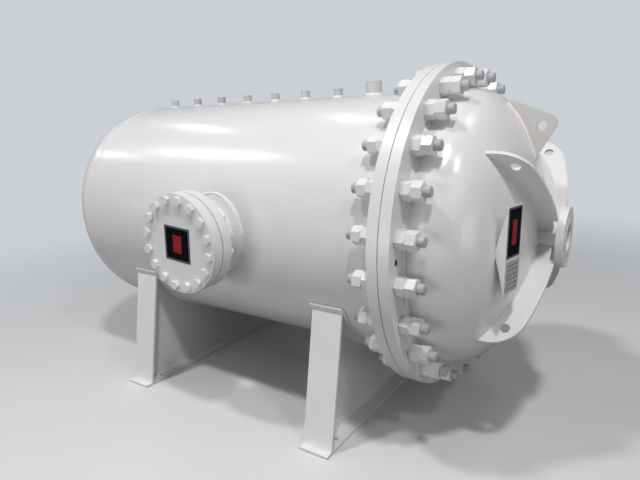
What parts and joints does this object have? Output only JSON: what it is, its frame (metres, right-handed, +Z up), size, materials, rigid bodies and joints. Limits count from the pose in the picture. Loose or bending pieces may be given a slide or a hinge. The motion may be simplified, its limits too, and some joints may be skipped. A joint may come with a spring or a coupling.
{
  "type": "pressure vessel",
  "caption": "Horizontal welded steel pressure vessel on saddles, with a bolted dished closure head, a blinded side nozzle, an end nozzle and threaded top couplings.",
  "frame": {"origin": "middle of the underside of the front saddle's base plate, below the vessel axis", "axes": "+X along the vessel towards the bolted closure head, -Y towards the blinded side nozzle, +Z up"},
  "size_m": [2.7447, 1.5517, 1.6344],
  "materials": {
    "paint": "glossy off-white enamel, sprayed over welds, studs and nuts",
    "gasket": "matt black sheet",
    "side_label_face": "printed black face with a slate-grey border and a plain red shape",
    "panel_label_face": "printed black face with a slate-grey border and a plain red shape",
    "data_plate_metal": "dull, bare etched face",
    "screw_steel": "dark oiled steel"
  },
  "bodies": {
    "root": {"closure_head": "paint", "coupling_1": "paint", "coupling_2": "paint", "coupling_3": "paint", "coupling_4": "paint", "coupling_5": "paint", "coupling_6": "paint", "coupling_7": "paint", "data_plate": "data_plate_metal", "end_nozzle_flange": "paint", "end_nozzle_neck": "paint", "front_base_plate": "paint", "front_far_leg": "paint", "front_near_leg": "paint", "front_saddle_web": "paint", "front_wear_plate": "paint", "gusset_far_lower": "paint", "gusset_far_upper": "paint", "gusset_near_lower": "paint", "gusset_near_upper": "paint", "head_flange": "paint", "head_side_inner_nuts": "paint", "head_side_outer_nuts": "paint", "jack_screws": "screw_steel", "large_coupling": "paint", "main_gasket": "gasket", "main_studs": "paint", "nameplate_bracket": "paint", "panel_label": "panel_label_face", "rear_base_plate": "paint", "rear_far_leg": "paint", "rear_head": "paint", "rear_near_leg": "paint", "rear_saddle_web": "paint", "rear_wear_plate": "paint", "shell": "paint", "shell_flange": "paint", "shell_side_inner_nuts": "paint", "shell_side_outer_nuts": "paint", "side_blind_cover": "paint", "side_cover_bolts": "paint", "side_cover_nuts": "paint", "side_gasket": "gasket", "side_label": "side_label_face", "side_nozzle_flange": "paint", "side_nozzle_neck": "paint", "side_nozzle_pad": "paint", "top_lifting_lug": "paint"}
  },
  "joints": []
}
